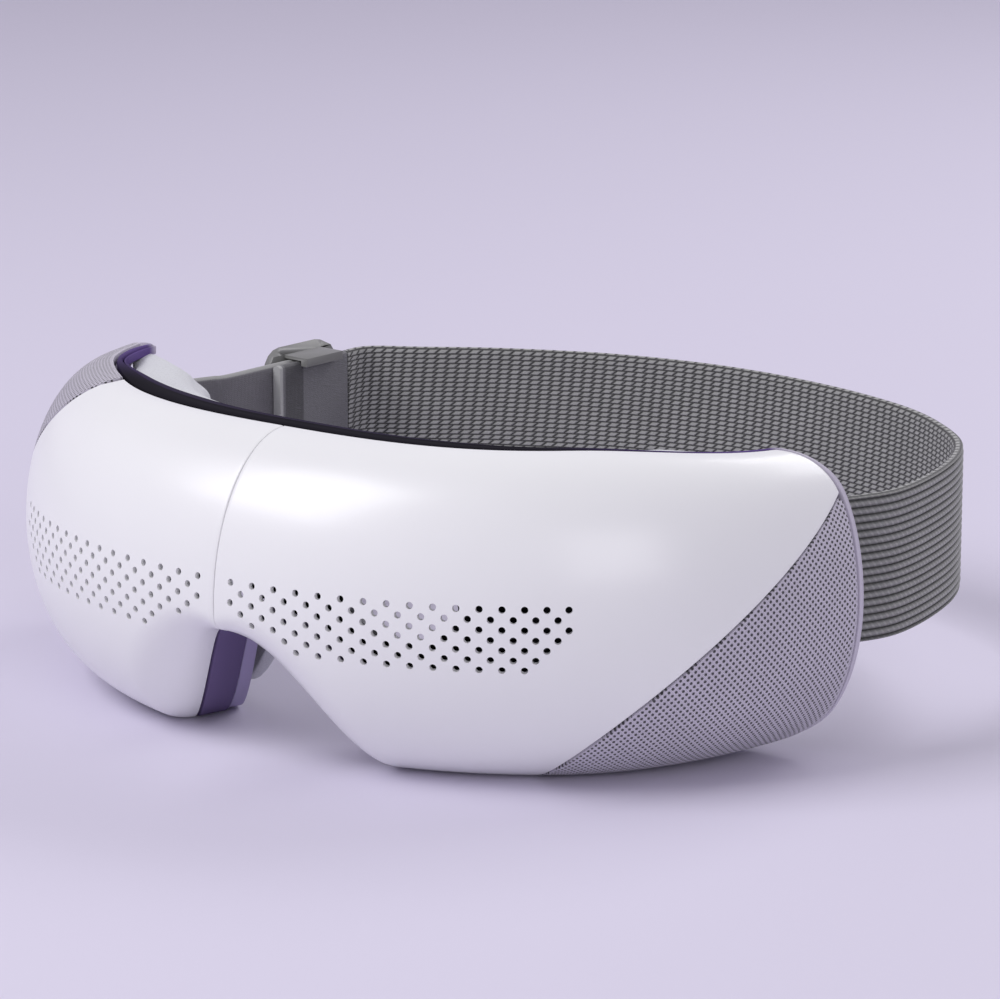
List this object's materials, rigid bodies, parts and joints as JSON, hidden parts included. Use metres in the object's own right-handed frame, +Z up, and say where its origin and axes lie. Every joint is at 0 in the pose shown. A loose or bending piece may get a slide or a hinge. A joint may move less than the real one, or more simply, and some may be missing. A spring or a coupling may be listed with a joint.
{
  "type": "eye massager mask",
  "caption": "Wrap-around eye massager mask with a perforated white front, knitted temples, leather face cushions and an adjustable mesh head strap.",
  "frame": {"origin": "middle of the bounding box in plan, at the height of the two bottom lobes, which rest on the floor", "axes": "+X towards the mask's end with the charging socket, +Y from the front seam towards the wearer, +Z up"},
  "size_m": [0.2032, 0.1767, 0.0672],
  "materials": {
    "white_shell": "satin white moulded shell",
    "black_frame": "piano black",
    "bezel": "satin lilac grey",
    "inner_plastic": "dark grey moulding",
    "leather_pad": "fine-grained light grey",
    "knit": "lilac grey knit with fine pinholes",
    "mesh_webbing": "ribbed grey mesh",
    "dark_webbing": "dark grey webbing",
    "grey_rubber": "smooth dark grey",
    "grey_plastic": "smooth grey",
    "bladder_rubber": "milky soft rubber",
    "film": "amber film",
    "cell": "blue wrap",
    "circuit_board": "green mask",
    "steel": "plain steel"
  },
  "bodies": {
    "mask": {"air_tee": "bladder_rubber", "air_tube_left": "bladder_rubber", "air_tube_right": "bladder_rubber", "airbag_left": "bladder_rubber", "airbag_right": "bladder_rubber", "battery": "cell", "charge_socket": "steel", "cushion_bezel": "bezel", "face_cushion_left": "leather_pad", "face_cushion_right": "leather_pad", "front_shell_left": "white_shell", "front_shell_right": "white_shell", "heating_film_left": "film", "heating_film_right": "film", "inner_plate": "inner_plastic", "main_board": "circuit_board", "plate_screw_left_1": "steel", "plate_screw_left_2": "steel", "plate_screw_right_1": "steel", "plate_screw_right_2": "steel", "power_switch": "inner_plastic", "pump_head": "inner_plastic", "pump_motor": "steel", "rear_frame": "black_frame", "release_valve": "steel", "strap_anchor_left": "inner_plastic", "strap_anchor_right": "inner_plastic", "strap_end_tab": "grey_rubber", "strap_mesh_band": "mesh_webbing", "strap_side_band": "dark_webbing", "temple_cover_left": "knit", "temple_cover_right": "knit", "vibration_motor_left": "steel", "vibration_motor_right": "steel"},
    "slider": {"strap_slider": "grey_plastic"},
    "button": {"power_button": "grey_plastic"},
    "right_weight": {"eccentric_weight_right": "steel"},
    "left_weight": {"eccentric_weight_left": "steel"}
  },
  "joints": [
    {"name": "strap_slide", "type": "slide", "parent": "mask", "child": "slider", "axis": [0.0748, 0.9972, 0], "range_m": [-0.015, 0.005]},
    {"name": "power_press", "type": "slide", "parent": "mask", "child": "button", "axis": [0, 0, 1], "range_m": [0, 0.0008], "stiffness_N_per_m": 1500},
    {"name": "right_weight_spin", "type": "hinge", "parent": "mask", "child": "right_weight", "pos_m": [0.05119, -0.05069, 0.014], "axis": [0.8748, 0.4844, 0], "continuous": true},
    {"name": "left_weight_spin", "type": "hinge", "parent": "mask", "child": "left_weight", "pos_m": [-0.03754, -0.05825, 0.014], "axis": [0.8748, -0.4844, 0], "continuous": true}
  ]
}
